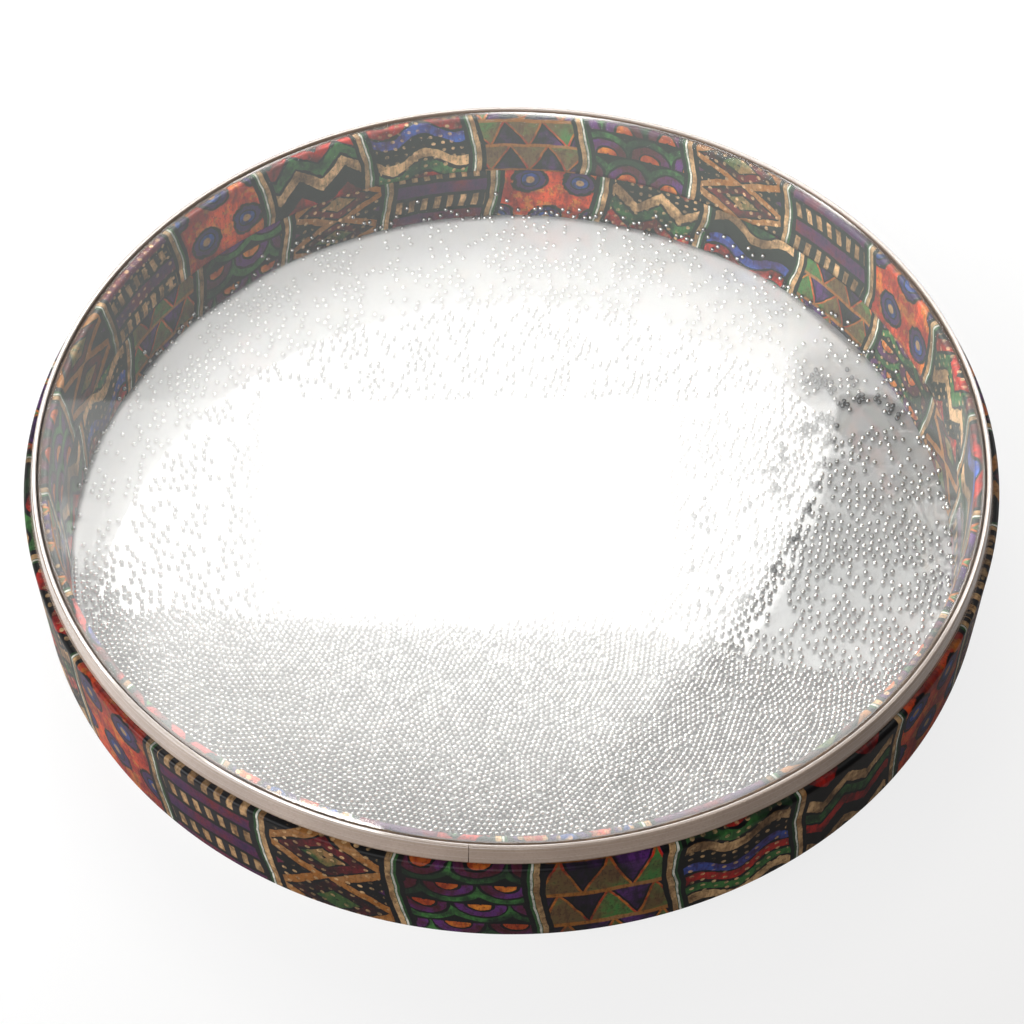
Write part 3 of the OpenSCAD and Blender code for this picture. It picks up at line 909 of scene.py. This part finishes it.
# %% Make the balls
def ball_shape():
    """26 points and 24 quads. Point = corner of a 3 x 3 x 3 lattice divided by its length."""
    lattice = np.stack(np.meshgrid(*[[-1, 0, 1]] * 3, indexing="ij"), axis=-1).reshape(-1, 3)
    kept = np.abs(lattice).max(axis=1) == 1
    number = np.cumsum(kept) - 1
    i, j = (m.ravel() for m in np.meshgrid([0, 1], [0, 1], indexing="ij"))
    quads = []
    for axis in range(3):
        for side in (0, 2):
            def corner(di, dj):
                cell = np.zeros((4, 3), dtype=int)
                cell[:, axis], cell[:, (axis + 1) % 3], cell[:, (axis + 2) % 3] = side, i + di, j + dj
                return number[cell @ [9, 3, 1]]
            quad = np.stack([corner(0, 0), corner(1, 0), corner(1, 1), corner(0, 1)], axis=1)
            quads.append(quad if side == 2 else quad[:, ::-1])
    points = lattice[kept] / np.linalg.norm(lattice[kept], axis=1)[:, None]
    return points, np.concatenate(quads)


def steel():
    """Polished steel, from grey to bright by each ball's tint, and much darker where that is below 0."""
    g = Graph("steel_shot")
    tint = g.node("ShaderNodeAttribute", {"attribute_name": "tint"}, out=2)
    grain = g.noise(g.place(), 2200.0, detail=1.0)
    colour = g.mix(tint.ramp(0.0, 1.0), rgb(180, 180, 177), rgb(232, 232, 229))
    colour = g.mix(tint < 0.0, colour, rgb(96, 97, 97))
    return g.finish(g.node("ShaderNodeBsdfPrincipled", None, Base_Color=colour, Metallic=1.0,
                           Roughness=grain.ramp(0.35, 0.7, 0.16, 0.26)))


UNIT_POINTS, UNIT_QUADS = ball_shape()
steel_finish = steel()
ball_height = head_top / MM + BALL / 2 + 0.03      # a hair above the head


def add_balls(name, body, nodes, places, seed, dark_ball=False):
    """All corners at once: corner = place + radius x unit corner. A third coordinate, if given, lifts
    the ball off the head, and the balls marked in the last argument get a tint below 0, which makes
    them much darker."""
    count = len(places)
    lift = places[:, 2] if places.shape[1] == 3 else np.zeros(count)
    centres = np.column_stack([places[:, :2], ball_height + lift]) * MM
    points = (centres[:, None] + ball_radius * UNIT_POINTS).reshape(-1, 3)
    quads = (UNIT_QUADS + len(UNIT_POINTS) * np.arange(count)[:, None, None]).reshape(-1, 4)
    mesh = bpy.data.meshes.new(name)
    mesh.vertices.add(len(points))
    mesh.vertices.foreach_set("co", points.astype(np.float32).ravel())
    mesh.loops.add(quads.size)
    mesh.loops.foreach_set("vertex_index", quads.astype(np.int32).ravel())
    mesh.polygons.add(len(quads))
    mesh.polygons.foreach_set("loop_start", np.arange(0, quads.size, 4, dtype=np.int32))
    mesh.polygons.foreach_set("use_smooth", np.ones(len(quads), dtype=bool))
    tint = np.where(dark_ball, -1.0, np.random.default_rng(seed).uniform(0, 1, count)).repeat(len(UNIT_POINTS))
    mesh.attributes.new("tint", "FLOAT", "POINT").data.foreach_set("value", tint.astype(np.float32))
    mesh.update(calc_edges=True)
    add_object(name, mesh, body, "steel_shot", steel_finish, *nodes)
    print(f"{name}: {count} balls, {2 * len(quads)} triangles")


# the ring is cut in three, as the CAD groups are, which keeps each mesh small
slice_x = 0.33 * SWIRL_OUT
left, right = swirl[:, 0] < -slice_x, swirl[:, 0] >= slice_x
between = ~left & ~right
groups = [("bed_left", "pool_left", is_bed & left), ("bed_front", "pool_front", is_bed & between),
          ("bed_right", "pool_right", is_bed & right), ("strewn_left", "strays_left", ~is_bed & left),
          ("strewn_back", "strays_back", ~is_bed & between),
          ("strewn_right", "strays_right", ~is_bed & right)]
for seed, (name, node, chosen) in enumerate(groups):
    add_balls(name, "swirling_shot", [node], swirl[chosen], seed, is_dark_ball[chosen])
add_balls("wall_row", "wall_shot", ["rim_row"], wall[clinging == 0], 7)
add_balls("clinging_balls", "drum", [], wall[clinging > 0], 9)
add_balls("calm_middle", "calm_shot", ["centre_strays"], calm, 8)
